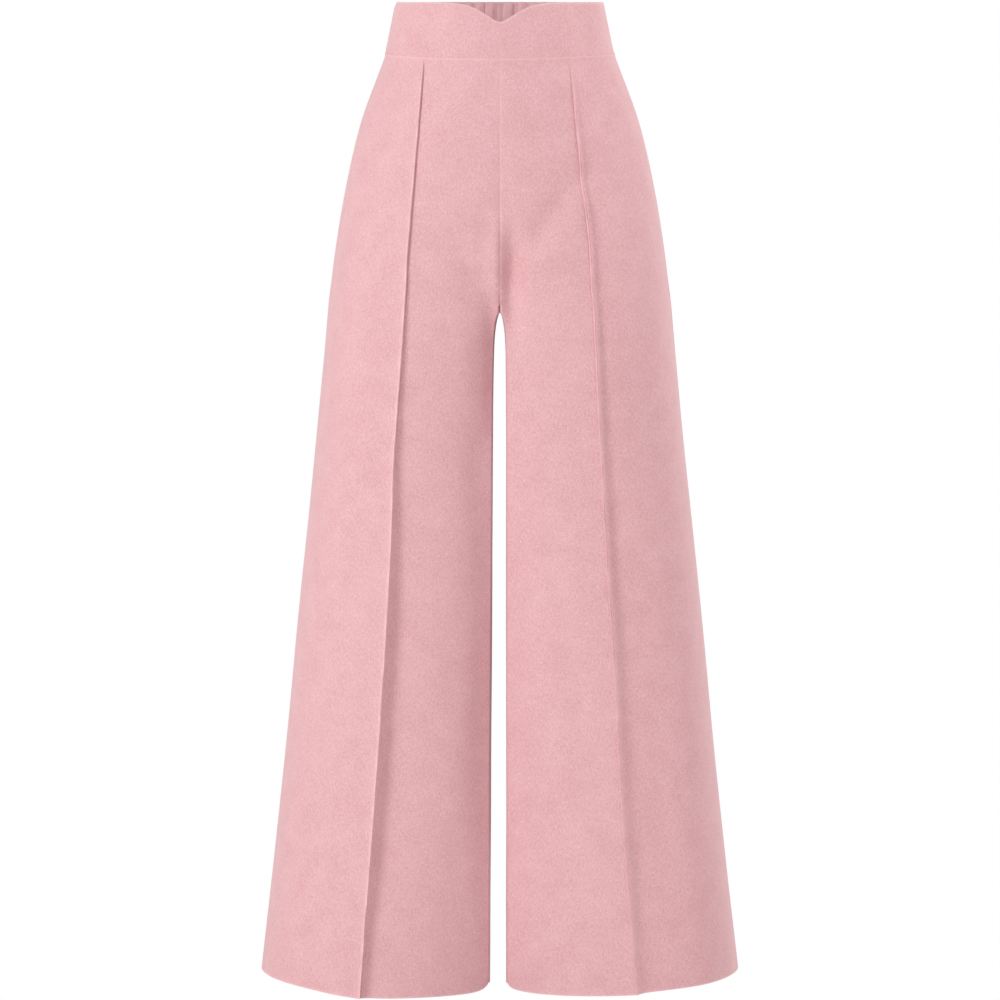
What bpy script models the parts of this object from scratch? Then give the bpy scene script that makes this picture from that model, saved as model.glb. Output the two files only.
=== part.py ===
"""High-waisted palazzo pants, open and hanging as they do when worn, with nobody inside.

Frame: metres, +Z up, the front faces -Y and +X is the wearer's left. The origin is the middle of the waist, half
way up the waistband at the side seams. Lengths below are millimetres, and angles are degrees.

A leg is cut in two panels, front and back. Each panel is a stack of nearly level rows that run from the side seam
to the inner edge, which is the centre seam above the fork and the inseam below it. A row is two smooth arcs that
meet in the panel's middle: at the pin tuck in front, and at the fullest part of the seat behind. Beside the other
leg the front breaks at a crease, and runs straight back from there to the inseam.
"""

import math
from bisect import bisect_right

import bmesh
import bpy
from mathutils import Vector

MM = 0.001

# Cloth and sewing
LEG_CLOTH = 1.6
BAND_CLOTH = 2.4  # the waistband is two layers of cloth
SEAM_GAP = 0.3

# V-shaped dip in the middle of the front waistband
NOTCH_DEPTH = 22.6
NOTCH_SPREAD = 28.4  # this far from the middle it is about a third as deep
NOTCH_SWEEP = 1.55  # 1 gives a sharp point, and 2 gives a round one

# Pin tuck down the middle of each front
TUCK_HALF_WIDTH = 2.4
TUCK_HEIGHT_AT_WAIST = 2.0
TUCK_HEIGHT = 3.0
TUCK_GROWS_OVER = 150.0

# The back waistband is drawn in by elastic, and its gathers run out in soft flutes down the seat
GATHERS_PER_SIDE = 12
GATHER_DEPTH = 1.8
GATHERS_GROW_OVER = 0.33  # of the way from the side seam to the middle of that side's back
FLUTES_PER_SIDE = 6
FLUTE_DEPTH = 3.2
FLUTE_LENGTH = 130.0
UNEVENNESS = 0.03

# Between the legs
LEG_GAP_HALF = 6.9
LEG_GAP_EASE = 17.0  # the gap opens to most of its width in about this far below the fork
LEG_GAP_FLARE = 0.003  # and grows by this share of the drop on top of that
INSEAM_HEM_Y = 6.0
INSEAM_HEM_Z = -1070.5

# The centre seam, as y and z of the points of Bezier curves from the waistband down to the fork. The front has two:
# one down to a lip, and one from there back under the body.
FORK = (20.0, -317.0)
LIP = (-105.0, -319.0)
FRONT_RISE = ((-100.0, -51.0), (-115.0, -140.0), (-117.0, -262.0), LIP, (-63.0, -318.3), (-22.0, -317.7), FORK)
BACK_RISE = ((100.0, -14.0), (142.0, -150.0), (128.0, -318.0), FORK)
LIP_SHARE = 0.8  # share of the front's rise above the lip

# The crease in the front of a leg, beside the other leg
CREASE_PLACE = 1.75
CREASE_STRIP = 1.0  # above the lip, where no wall runs back from it, it lies this far from the centre seam
CREASE_IN = 0.95  # below the fork its x is this share of the inseam's

# An arc's handles reach this share of the straight line between its ends, in the half beside the side seam
SIDE_REACH = 0.37
MIDDLE_REACH = 0.43


def table(text):
    """Rows of a table, each a dictionary from the column's name to its number. The first column names the row."""
    head, *rows = (line.split() for line in text.strip().splitlines())
    return {row[0]: dict(zip(head[1:], map(float, row[1:]))) for row in rows}


# The levels of a leg. z is the level's height at the side seam, and lean is how far it climbs for each millimetre
# towards the back. rise is the share of the centre seam that lies above the level.
LEG = table("""
level           z  side_x  side_y   lean  rise
waist       -29.0   128.4     0.0   0.22   0.0
high_hip   -112.0   158.3     2.2   0.14   0.2
hip        -185.0   174.6     4.3   0.08   0.4
seat       -247.0   184.8     5.2   0.04   0.6
low_seat   -288.0   190.2     5.8   0.03   0.8
fork       -305.0   192.4     6.0   0.03   1.0
thigh      -351.0   196.4     6.0   0.02   1.0
mid_leg    -450.0   205.7     6.0   0.01   1.0
knee       -620.0   222.9     6.0   0.01   1.0
calf       -846.0   245.1     6.0   0.02   1.0
hem       -1055.3   268.4     6.0  0.038   1.0
""")

# Each panel at those levels. x and depth place its middle, depth counting forwards in front and backwards behind.
# face is how far the cloth there is turned towards the side, and fold how sharply it breaks. turn is how far the
# cloth has turned in by the inner edge, or by the crease in front, and edge is that crease's depth. full and corner
# are the reaches of the inner arc at its two ends.
FRONT = table("""
level         x  depth  face  fold  turn   edge  full  corner
waist      80.5   78.3  31.6   0.0     1  100.0  0.38    0.36
high_hip   86.4   93.8  24.5   1.2     3  109.2  0.37    0.36
hip        91.6  105.3  18.3   2.9     6  112.6  0.36    0.36
seat       96.5  113.3  13.6   4.4    14  111.4  0.36    0.36
low_seat   99.9  117.0  10.2   5.3    18  105.3  0.36    0.36
fork      101.2  118.4   9.5   5.5    19  104.9  0.36    0.36
thigh     104.6  120.6   7.5   5.8    25  100.5  0.36    0.36
mid_leg   110.5  121.5   6.0   6.0    29   94.8  0.36    0.36
knee      119.6  121.5   4.0   6.0    35   84.0  0.36    0.36
calf      133.6  121.5   3.4   6.0    39   73.9  0.36    0.36
hem       149.0  121.0   3.0   6.0    40   66.0  0.36    0.36
""")
BACK = table("""
level         x  depth  face  fold  turn   full  corner
waist      88.0   73.3  35.8     0     0   0.43    0.34
high_hip   92.3  100.5  25.8     0     0   0.43    0.34
hip        94.5  113.5  18.2     0     6   0.44    0.34
seat       97.0  120.3  12.8     0    30   0.43    0.36
low_seat  100.2  121.3   8.5     0    66   0.43    0.45
fork      102.0  121.0   7.5     0    90   0.38    0.58
thigh     105.0  120.0   6.2     0    90   0.39    0.53
mid_leg   110.5  118.5   5.0     0    90   0.41    0.42
knee      121.0  118.0   4.0     0    90   0.43    0.34
calf      134.0  119.0   3.4     0    90   0.43    0.34
hem       146.0  120.0   3.0     0    90   0.43    0.34
""")

# The top edge of each waistband, in the same columns. middle is its depth in the middle of the body. Its lower
# edge is the leg's first level.
BAND_TOP = table("""
half      z  side_x  side_y   lean  rise     x  depth  face  fold  turn  full  corner  middle
front  29.6   116.5     0.0  0.175   0.0  74.5   68.4  31.8     0     0  0.43    0.34    88.5
back   29.6   116.5     0.0  0.175   0.0  80.0   65.8  35.6     0     0  0.43    0.34    90.0
""")

# Mesh density: steps across each arc, and rows down each stretch
FRONT_STEPS = (9, 9, 2)  # the last is the wall behind the crease
BACK_STEPS = (12, 12)  # four to a flute
BAND_FRONT_STEPS = (8, 14)
BAND_BACK_STEPS = (36, 36)  # six to a gather
RISE_ROWS = 13
LEG_ROWS = 15
LEG_ROWS_CROWD = 1.7  # above 1, leg rows lie closer together near the fork
BAND_ROWS = 4

SMOOTH_TO = 33.0  # an edge that turns less than this many degrees is shaded smooth
CLOTH_COLOUR = (0.80, 0.44, 0.47, 1.0)


def smooth(places, values, place):
    """The value at place on a smooth curve through the given values, which never swings past them."""
    gaps = [after - before for before, after in zip(places, places[1:])]
    slopes = [(after - before) / gap for before, after, gap in zip(values, values[1:], gaps)]

    def tangent(i):
        before, after = slopes[max(i - 1, 0)], slopes[min(i, len(slopes) - 1)]
        return 2 * before * after / (before + after) if before * after > 0 else 0.0

    i = min(max(bisect_right(places, place) - 1, 0), len(gaps) - 1)
    t = (place - places[i]) / gaps[i]
    start, end = values[i], values[i + 1]
    leave, arrive = tangent(i) * gaps[i], tangent(i + 1) * gaps[i]
    bend = 3 * (end - start) - 2 * leave - arrive
    twist = 2 * (start - end) + leave + arrive
    return start + t * (leave + t * (bend + t * twist))


def level_at(z, panel):
    """Every column of the leg's table and of one panel's, at the height z of the side seam."""
    drops = [-row["z"] for row in LEG.values()]
    columns = {}
    for rows in (LEG, panel):
        for name in rows["waist"]:
            columns[name] = smooth(drops, [row[name] for row in rows.values()], -z)
    return columns


def bezier(points, t):
    """Place and direction on a cubic Bezier curve, by de Casteljau's halving."""
    a, b, c, d = points
    ab, bc, cd = a.lerp(b, t), b.lerp(c, t), c.lerp(d, t)
    before, after = ab.lerp(bc, t), bc.lerp(cd, t)
    return before.lerp(after, t), (after - before).normalized()


def arc(start, leave, end, arrive, reaches, t):
    """Place and direction on an arc that leaves start and reaches end in the given directions."""
    chord = (end - start).length
    return bezier((start, start + leave * chord * reaches[0], end - arrive * chord * reaches[1], end), t)


def heading(degrees, towards=1):
    """Direction of a row where its cloth faces this far round from straight ahead towards the side."""
    angle = math.radians(degrees)
    return Vector((-math.cos(angle), math.sin(angle) * towards))


def inner_edge(level, rise_curve):
    """x, y and z of the centre seam at a level above the fork, or of the inseam at one below it."""
    if level["rise"] < 1:
        points, share = [Vector(point) for point in rise_curve], level["rise"]
        if len(points) > 4:
            points, share = (points[:4], share / LIP_SHARE) if share <= LIP_SHARE else (
                points[3:], (share - LIP_SHARE) / (1 - LIP_SHARE))
        seam, _ = bezier(points, share)
        return SEAM_GAP / 2, seam.x, seam.y
    share = (LEG["fork"]["z"] - level["z"]) / (LEG["fork"]["z"] - LEG["hem"]["z"])
    y = FORK[0] + (INSEAM_HEM_Y - FORK[0]) * share
    z = FORK[1] + (INSEAM_HEM_Z - FORK[1]) * share
    drop = FORK[1] - z
    x = SEAM_GAP / 2 + LEG_GAP_HALF * (1 - math.exp(-drop / LEG_GAP_EASE)) + LEG_GAP_FLARE * drop
    return x, y, z


def crease_at(level, end):
    """Where the crease crosses a front row that ends here, as x and depth."""
    if level["rise"] > LIP_SHARE:
        return Vector((max(CREASE_STRIP, CREASE_IN * end.x), level["edge"]))
    return end - heading(level["turn"], -1) * CREASE_STRIP


def creased(level, middle, leave, end, place):
    """Place and direction on the inner half of a front row, which breaks at the crease."""
    arrive = heading(level["turn"], -1)
    crease = crease_at(level, end)
    back = (end - crease).normalized()
    if place == CREASE_PLACE:
        return crease, (arrive + back).normalized()
    if place > CREASE_PLACE:
        return crease.lerp(end, (place - CREASE_PLACE) / (2 - CREASE_PLACE)), back
    share = (place - 1) / (CREASE_PLACE - 1)
    return arc(middle, leave, crease, arrive, (level["full"], level["corner"]), share)


def across(level, sign, inner, places, folded=False):
    """(point, outward direction) at each place of a row, from 0 at the side seam through 1 to 2 at the inner edge.

    sign is -1 for the front and 1 for the back. The arcs are drawn in x and depth, and then turned into x, y and z.
    folded rows have the crease of the front of a leg.
    """
    side = Vector((level["side_x"], sign * level["side_y"] + SEAM_GAP / 2))
    middle = Vector((level["x"], level["depth"]))
    inner_x, inner_y, inner_z = inner
    # Front and back part by a seam's gap at the inseam. Above it, it is left and right that do.
    end = Vector((inner_x, sign * inner_y + (SEAM_GAP / 2 if level["rise"] >= 1 else 0.0)))
    # A row lies in the plane through its two ends that climbs towards the back.
    slope_x = (inner_z - level["z"] - level["lean"] * sign * (end.y - side.y)) / (end.x - side.x)
    found = []
    for place in places:
        if place <= 1:
            arrive = heading(level["face"] + level["fold"])
            spot, along = arc(side, Vector((0, 1)), middle, arrive, (SIDE_REACH, MIDDLE_REACH), place)
        else:
            leave, arrive = heading(level["face"] - level["fold"]), heading(level["turn"], -1)
            if folded:
                spot, along = creased(level, middle, leave, end, place)
            else:
                spot, along = arc(middle, leave, end, arrive, (level["full"], level["corner"]), place - 1)
        z = level["z"] + slope_x * (spot.x - side.x) + level["lean"] * sign * (spot.y - side.y)
        found.append((Vector((spot.x, sign * spot.y, z)), Vector((along.y, -sign * along.x, 0))))
    return found


def even_places(steps):
    """Places across a row, with this many even steps in each of its two arcs."""
    first, second = steps
    return [i / first for i in range(first)] + [1 + i / second for i in range(second + 1)]


def unevenly(place):
    """A place moved a little along its row, so that gathers and flutes aren't all the same width."""
    return place + UNEVENNESS * math.sin(5 * place)


def leg_rows():
    """Heights of the rows at the side seam: even steps of the centre seam, then rows that spread out to the hem."""
    levels = [row for row in LEG.values() if row["rise"] < 1] + [LEG["fork"]]
    rises, heights = [row["rise"] for row in levels], [row["z"] for row in levels]
    above = [smooth(rises, heights, i / RISE_ROWS) for i in range(RISE_ROWS)]
    length = LEG["hem"]["z"] - LEG["fork"]["z"]
    below = [LEG["fork"]["z"] + length * (i / LEG_ROWS) ** LEG_ROWS_CROWD for i in range(LEG_ROWS + 1)]
    return above + below


def tuck_places(level, edge):
    """Places across a front row, with one on the tuck's ridge and one at the foot of each of its slopes."""
    middle = (level["x"], level["depth"])
    before = TUCK_HALF_WIDTH / (3 * MIDDLE_REACH * math.dist((level["side_x"], -level["side_y"]), middle))
    crease = crease_at(level, Vector((edge[0], -edge[1])))
    reach = CREASE_PLACE - 1
    after = TUCK_HALF_WIDTH * reach / (3 * level["full"] * math.dist(middle, crease))
    first, second, third = FRONT_STEPS
    places = [i / first * (1 - before) for i in range(first + 1)] + [1]
    places += [1 + after + i / second * (reach - after) for i in range(second)]
    return places + [CREASE_PLACE + i / third * (2 - CREASE_PLACE) for i in range(third + 1)]


def front_panel():
    """Outer and inner points of the left front, row by row, with the pin tuck raised on the outside."""
    outer, inner = [], []
    for z in leg_rows():
        level = level_at(z, FRONT)
        edge = inner_edge(level, FRONT_RISE)
        places = tuck_places(level, edge)
        row = across(level, -1, edge, places, folded=True)
        grown = min((LEG["waist"]["z"] - z) / TUCK_GROWS_OVER, 1)
        height = TUCK_HEIGHT_AT_WAIST + (TUCK_HEIGHT - TUCK_HEIGHT_AT_WAIST) * grown
        outer.append([point + out * (height if place == 1 else 0) for place, (point, out) in zip(places, row)])
        inner.append([point - out * LEG_CLOTH for point, out in row])
    return outer, inner


def back_panel():
    """Outer and inner points of the left back, with flutes below the elastic that fade out down the seat."""
    places = even_places(BACK_STEPS)
    outer, inner = [], []
    for z in leg_rows():
        level = level_at(z, BACK)
        row = across(level, 1, inner_edge(level, BACK_RISE), places)
        fade = max(1 - (LEG["waist"]["z"] - z) / FLUTE_LENGTH, 0) ** 2
        turns = [math.pi * FLUTES_PER_SIDE * unevenly(place) for place in places]
        wave = [-FLUTE_DEPTH * fade * math.sin(turn) for turn in turns]
        outer.append([point + out * push for push, (point, out) in zip(wave, row)])
        inner.append([point + out * (push - LEG_CLOTH) for push, (point, out) in zip(wave, row)])
    return outer, inner


def notch(x):
    """How far the top edge of the front waistband dips at this distance from its middle."""
    return NOTCH_DEPTH * math.exp(-((abs(x) / NOTCH_SPREAD) ** NOTCH_SWEEP))


def gather(place):
    """How far the gathered back waistband is pushed out at this place."""
    grown = min(place / GATHERS_GROW_OVER, 1)
    return -GATHER_DEPTH * grown * math.sin(math.pi * GATHERS_PER_SIDE * unevenly(place))


def band_half(half, steps, dip, wave):
    """Outer and inner points of half a waistband, from its lower edge up, from the side seam to the middle."""
    sign, panel, rise_curve = {"front": (-1, FRONT, FRONT_RISE), "back": (1, BACK, BACK_RISE)}[half]
    places = even_places(steps)
    top_level = BAND_TOP[half]
    top_y = sign * top_level["middle"]
    top_z = top_level["z"] + top_level["lean"] * (top_y - sign * SEAM_GAP / 2)
    low = across(LEG["waist"] | panel["waist"], sign, (0.0, *rise_curve[0]), places)
    top = across(top_level, sign, (0.0, top_y, top_z), places)
    outer, inner = [], []
    for step in range(BAND_ROWS + 1):
        outer.append([])
        inner.append([])
        for place, (foot, out), (head, _) in zip(places, low, top):
            height = head.z - foot.z
            start = SEAM_GAP / height
            share = start + (1 - dip(foot.x) / height - start) * step / BAND_ROWS
            point = foot.lerp(head, share) + out * wave(place)
            outer[-1].append(point)
            inner[-1].append(point - out * BAND_CLOTH)
    return outer, inner


def both_sides(rows):
    """Rows of half a waistband carried on across the middle to the other side seam."""
    return [row + [Vector((-p.x, p.y, p.z)) for p in reversed(row[:-1])] for row in rows]


def cloth_material(name):
    material = bpy.data.materials.new(name)
    material.use_nodes = True
    shader = material.node_tree.nodes["Principled BSDF"]
    shader.inputs["Base Color"].default_value = CLOTH_COLOUR
    shader.inputs["Roughness"].default_value = 0.85
    return material


def wall(name, outer, inner, material):
    """A closed wall of cloth between two grids of points: its two faces, and a rim along each of its four edges."""
    mesh = bmesh.new()
    grids = [[[mesh.verts.new(point * MM) for point in row] for row in grid] for grid in (outer, inner)]
    for grid in grids:
        for near, far in zip(grid, grid[1:]):
            for i in range(len(near) - 1):
                mesh.faces.new((near[i], far[i], far[i + 1], near[i + 1]))
    edges = [[grid[0], grid[-1], [row[0] for row in grid], [row[-1] for row in grid]] for grid in grids]
    for skin, lining in zip(*edges):
        for i in range(len(skin) - 1):
            mesh.faces.new((skin[i], skin[i + 1], lining[i + 1], lining[i]))
    bmesh.ops.recalc_face_normals(mesh, faces=mesh.faces)
    data = bpy.data.meshes.new(name)
    mesh.to_mesh(data)
    mesh.free()
    data.materials.append(material)
    data.shade_smooth()
    data.set_sharp_from_angle(angle=math.radians(SMOOTH_TO))
    return data


def add_piece(name, data, mirrored=False):
    """An object of the garment, turned over to the wearer's right where it is mirrored."""
    piece = bpy.data.objects.new(name, data)
    piece.scale.x = -1 if mirrored else 1
    piece.parent = bpy.data.objects["waist"]
    bpy.data.collections["palazzo_pants"].objects.link(piece)


def main():
    for old in list(bpy.data.objects):
        bpy.data.objects.remove(old)
    garment = bpy.data.collections.new("palazzo_pants")
    bpy.context.scene.collection.children.link(garment)
    garment.objects.link(bpy.data.objects.new("waist", None))

    leg_cloth = cloth_material("brushed_crepe")
    band_cloth = cloth_material("brushed_crepe_band")

    front = wall("front_panel", *front_panel(), leg_cloth)
    back = wall("back_panel", *back_panel(), leg_cloth)
    add_piece("front_left", front)
    add_piece("front_right", front, mirrored=True)
    add_piece("back_left", back)
    add_piece("back_right", back, mirrored=True)

    plain = band_half("front", BAND_FRONT_STEPS, notch, lambda place: 0.0)
    drawn_in = band_half("back", BAND_BACK_STEPS, lambda x: 0.0, gather)
    add_piece("waistband_front", wall("waistband_front", *map(both_sides, plain), band_cloth))
    add_piece("waistband_back", wall("waistband_back", *map(both_sides, drawn_in), band_cloth))


main()
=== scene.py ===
# %% [markdown]
# # High-waisted palazzo pants
#
# These trousers are all cloth: a waistband that is plain in front and elastic at the back, and four long
# panels that hang from it. So the lesson is about one thing: how to make cloth look sewn, not moulded.
#
# The solids that the physics uses are loaded first. Every panel is then made again as a fine thin shell
# of the same form, with its seams, tuck, gathers and soft creases.

# %% Load the frame
import math
from bisect import bisect_right

import bmesh
import bpy
import numpy as np
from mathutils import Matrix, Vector


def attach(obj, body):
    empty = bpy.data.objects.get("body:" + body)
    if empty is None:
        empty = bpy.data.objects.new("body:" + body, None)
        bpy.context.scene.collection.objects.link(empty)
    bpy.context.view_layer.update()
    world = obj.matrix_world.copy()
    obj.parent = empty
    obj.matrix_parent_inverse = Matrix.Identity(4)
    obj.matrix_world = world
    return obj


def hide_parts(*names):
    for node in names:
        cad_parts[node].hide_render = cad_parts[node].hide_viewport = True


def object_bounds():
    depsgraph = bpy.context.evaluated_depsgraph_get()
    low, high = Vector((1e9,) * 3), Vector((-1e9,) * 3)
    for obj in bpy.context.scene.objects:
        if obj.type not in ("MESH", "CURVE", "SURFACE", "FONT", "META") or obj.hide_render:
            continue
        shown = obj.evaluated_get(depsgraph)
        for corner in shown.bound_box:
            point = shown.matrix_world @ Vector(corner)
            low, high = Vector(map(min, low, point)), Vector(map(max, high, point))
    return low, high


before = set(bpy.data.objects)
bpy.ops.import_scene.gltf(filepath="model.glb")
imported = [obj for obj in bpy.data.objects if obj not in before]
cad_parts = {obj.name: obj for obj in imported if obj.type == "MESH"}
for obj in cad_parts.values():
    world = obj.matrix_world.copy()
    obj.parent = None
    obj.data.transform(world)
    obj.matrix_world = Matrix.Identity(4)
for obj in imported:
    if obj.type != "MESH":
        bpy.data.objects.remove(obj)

MM = 0.001
cad_box = [list(corner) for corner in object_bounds()]
print("pieces to dress:", sorted(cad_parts))
print("size in mm:", [round((high - low) / MM) for low, high in zip(*cad_box)])

# %% [markdown]
# ## The shape of a leg
#
# A pattern cutter describes trousers by girths at named levels from the waist to the hem. Here each level
# is a row of a table, and a smooth curve through a column gives that measure at any height. A mesh could
# also be pulled into shape by hand, but its two legs would then differ by accident.
#
# All lengths are millimetres until they reach a mesh. +X is the wearer's left, -Y the front, and z is 0
# half way up the waistband at the side seams.


# %% Tables of the levels
def table(text):
    """The rows of a table by their names, each with its numbers by their columns' names."""
    head, *rows = (line.split() for line in text.strip().splitlines())
    return {row[0]: dict(zip(head[1:], map(float, row[1:]))) for row in rows}


# z, side_x and side_y place a level at the side seam. lean is its climb for each mm towards the back, and
# rise the share of the centre seam above it.
LEG = table("""
level          z side_x side_y  lean rise
waist      -29.0  128.4    0.0  0.22  0.0
high_hip  -112.0  158.3    2.2  0.14  0.2
hip       -185.0  174.6    4.3  0.08  0.4
seat      -247.0  184.8    5.2  0.04  0.6
low_seat  -288.0  190.2    5.8  0.03  0.8
fork      -305.0  192.4    6.0  0.03  1.0
thigh     -351.0  196.4    6.0  0.02  1.0
mid_leg   -450.0  205.7    6.0  0.01  1.0
knee      -620.0  222.9    6.0  0.01  1.0
calf      -846.0  245.1    6.0  0.02  1.0
hem      -1055.3  268.4    6.0 0.038  1.0
""")

# x and depth place the middle of a panel. face is how far its cloth is turned to the side there, fold how
# sharply it breaks, and turn how far it has turned in by its inner end, in degrees. edge is the depth of
# the edge beside the other leg. full and corner are the reaches of the inner arc.
FRONT = table("""
level        x depth face fold turn  edge full corner
waist     80.5  78.3 31.6  0.0    1 100.0 0.38   0.36
high_hip  86.4  93.8 24.5  1.2    3 109.2 0.37   0.36
hip       91.6 105.3 18.3  2.9    6 112.6 0.36   0.36
seat      96.5 113.3 13.6  4.4   14 111.4 0.36   0.36
low_seat  99.9 117.0 10.2  5.3   18 105.3 0.36   0.36
fork     101.2 118.4  9.5  5.5   19 104.9 0.36   0.36
thigh    104.6 120.6  7.5  5.8   25 100.5 0.36   0.36
mid_leg  110.5 121.5  6.0  6.0   29  94.8 0.36   0.36
knee     119.6 121.5  4.0  6.0   35  84.0 0.36   0.36
calf     133.6 121.5  3.4  6.0   39  73.9 0.36   0.36
hem      149.0 121.0  3.0  6.0   40  66.0 0.36   0.36
""")
BACK = table("""
level        x depth face fold turn full corner
waist     88.0  73.3 35.8    0    0 0.43   0.34
high_hip  92.3 100.5 25.8    0    0 0.43   0.34
hip       94.5 113.5 18.2    0    6 0.44   0.34
seat      97.0 120.3 12.8    0   30 0.43   0.36
low_seat 100.2 121.3  8.5    0   66 0.43   0.45
fork     102.0 121.0  7.5    0   90 0.38   0.58
thigh    105.0 120.0  6.2    0   90 0.39   0.53
mid_leg  110.5 118.5  5.0    0   90 0.41   0.42
knee     121.0 118.0  4.0    0   90 0.43   0.34
calf     134.0 119.0  3.4    0   90 0.43   0.34
hem      146.0 120.0  3.0    0   90 0.43   0.34
""")

# The waistband's top edge. middle is its depth in the middle of the body.
BAND_TOP = table("""
half     z side_x side_y  lean rise    x depth face fold turn full corner middle
front 29.6  116.5    0.0 0.175  0.0 74.5  68.4 31.8    0    0 0.43   0.34   88.5
back  29.6  116.5    0.0 0.175  0.0 80.0  65.8 35.6    0    0 0.43   0.34   90.0
""")
OUTER_REACHES = (0.37, 0.43)  # of the outer arc, at the side seam and at the panel's middle
print(len(LEG), "levels from", LEG["waist"]["z"], "to", LEG["hem"]["z"])

# %% [markdown]
# ## The seams between the legs
#
# The centre seam runs in y and z, from the waistband to the fork where the legs part. At the back one
# Bezier curve gives it. In front it comes down to a lip and runs back under the body, so it takes two.
# There a leg doesn't round back to its inseam as a tube would: it breaks in a soft upright edge beside the
# other leg, and goes straight back.

# %% The centre seam, the inseam and the edge
FORK = (20.0, -317.0)
LIP = (-105.0, -319.0)
LIP_SHARE = 0.8  # the share of the rise that is above the lip
FRONT_SEAM = (
    ((-100.0, -51.0), (-115.0, -140.0), (-117.0, -262.0), LIP),
    (LIP, (-63.0, -318.3), (-22.0, -317.7), FORK),
)
BACK_SEAM = (((100.0, -14.0), (142.0, -150.0), (128.0, -318.0), FORK),)
INSEAM_HEM = (6.0, -1070.5)
LEG_GAP_HALF = 6.9  # half the gap between the inseams, once they have parted
LEG_GAP_EASE = 17.0  # they part over about this length
LEG_GAP_FLARE = 0.003  # and from there by this much more for each millimetre down
SEAM_GAP = 0.05  # sewn edges touch, so this is only enough to keep two pieces apart

EDGE_PLACE = 1.75  # a row's places run from 0 at the side seam through 1 in its middle to 2 at its end
EDGE_STRIP = 0.4  # above the lip, with no wall behind it, the edge lies this far from the centre seam
EDGE_IN = 0.95  # its x as a share of the inseam's, which hides the wall behind it
EDGE_ROUND = (0.016, 0.03)  # it is rounded over this much of the row before it and after it
FORK_CLOSED = (2.2, 8.5)  # just below the fork the two edges still lean together, and hide it

HALVES = {"front": (-1, FRONT, FRONT_SEAM), "back": (1, BACK, BACK_SEAM)}
print("the rise is", LEG["waist"]["z"] - FORK[1], "mm deep")


# %% Curves through the tables
def smooth(places, values, place):
    """The value at place on a smooth curve through the given values.

    Each slope is the harmonic mean of its neighbours', so that the curve never swings past a value."""
    gaps = [after - before for before, after in zip(places, places[1:])]
    slopes = [(after - before) / gap for before, after, gap in zip(values, values[1:], gaps)]

    def tangent(i):
        before, after = slopes[max(i - 1, 0)], slopes[min(i, len(slopes) - 1)]
        return 2 * before * after / (before + after) if before * after > 0 else 0.0

    i = min(max(bisect_right(places, place) - 1, 0), len(gaps) - 1)
    t = (place - places[i]) / gaps[i]
    start, end = values[i], values[i + 1]
    leave, arrive = tangent(i) * gaps[i], tangent(i + 1) * gaps[i]
    bend = 3 * (end - start) - 2 * leave - arrive
    twist = 2 * (start - end) + leave + arrive
    return start + t * (leave + t * (bend + t * twist))


def columns_at(z, rows, levels):
    """Every column of a table at the height z of the side seam. levels says how high its rows are."""
    drops = [-level["z"] for level in levels.values()]
    return {name: smooth(drops, [row[name] for row in rows.values()], -z) for name in rows["waist"]}


def level_at(z, panel):
    """Every column of the leg's and of one panel's table, at the height z of the side seam."""
    return columns_at(z, LEG, LEG) | columns_at(z, panel, LEG)


def bump(distance, width):
    """A soft swell: 1 at no distance, about a third at one width, and next to nothing past two."""
    return np.exp(-((distance / width) ** 2))


def dome(distance, size):
    """A soft swell with the given height and width."""
    height, width = size
    return height * bump(distance, width)


def ramp_up(value, start, over):
    """0 up to the start, then a straight climb to 1 over the given length."""
    return np.clip((value - start) / over, 0, 1)


print("the knee is", 2 * level_at(LEG["knee"]["z"], FRONT)["side_x"], "mm wide across both legs")

# %% [markdown]
# ## One row of cloth
#
# A level cut through a panel is two Bezier arcs, which meet in the panel's middle. They share their
# direction there, which looks as smooth as cloth, but in front they differ by a few degrees, because a
# tuck breaks the curve.


# %% Arcs of a row
def bezier(points, t):
    """Place and direction on a cubic Bezier curve, by de Casteljau's halving."""
    a, b, c, d = points
    ab, bc, cd = a.lerp(b, t), b.lerp(c, t), c.lerp(d, t)
    before, after = ab.lerp(bc, t), bc.lerp(cd, t)
    return before.lerp(after, t), (after - before).normalized()


def arc(start, leave, end, arrive, reaches, t):
    """Place and direction on an arc that leaves start and reaches end in the given directions."""
    chord = (end - start).length
    return bezier((start, start + leave * chord * reaches[0], end - arrive * chord * reaches[1], end), t)


def heading(degrees, towards=1):
    """Direction of a row where its cloth faces this far round from straight ahead towards the side."""
    angle = math.radians(degrees)
    return Vector((-math.cos(angle), math.sin(angle) * towards))


def inner_end(level, curves):
    """x, y and z of the centre seam at a level above the fork, or of the inseam at one below it."""
    if level["rise"] < 1:
        curve, share = curves[0], level["rise"]
        if len(curves) > 1 and share <= LIP_SHARE:
            share = share / LIP_SHARE
        elif len(curves) > 1:
            curve, share = curves[1], (share - LIP_SHARE) / (1 - LIP_SHARE)
        seam, _ = bezier([Vector(point) for point in curve], share)
        return SEAM_GAP / 2, seam.x, seam.y
    share = (LEG["fork"]["z"] - level["z"]) / (LEG["fork"]["z"] - LEG["hem"]["z"])
    y = FORK[0] + (INSEAM_HEM[0] - FORK[0]) * share
    z = FORK[1] + (INSEAM_HEM[1] - FORK[1]) * share
    drop = FORK[1] - z
    return SEAM_GAP / 2 + LEG_GAP_HALF * (1 - math.exp(-drop / LEG_GAP_EASE)) + LEG_GAP_FLARE * drop, y, z


print("at the fork the seams meet at", inner_end(LEG["fork"], FRONT_SEAM), "mm")


# %% A whole row
def plain_inner(level, middle, leave, end, place):
    """Place and direction on the inner part of a row that is one arc."""
    reaches = (level["full"], level["corner"])
    return arc(middle, leave, end, heading(level["turn"], -1), reaches, place - 1)


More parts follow.
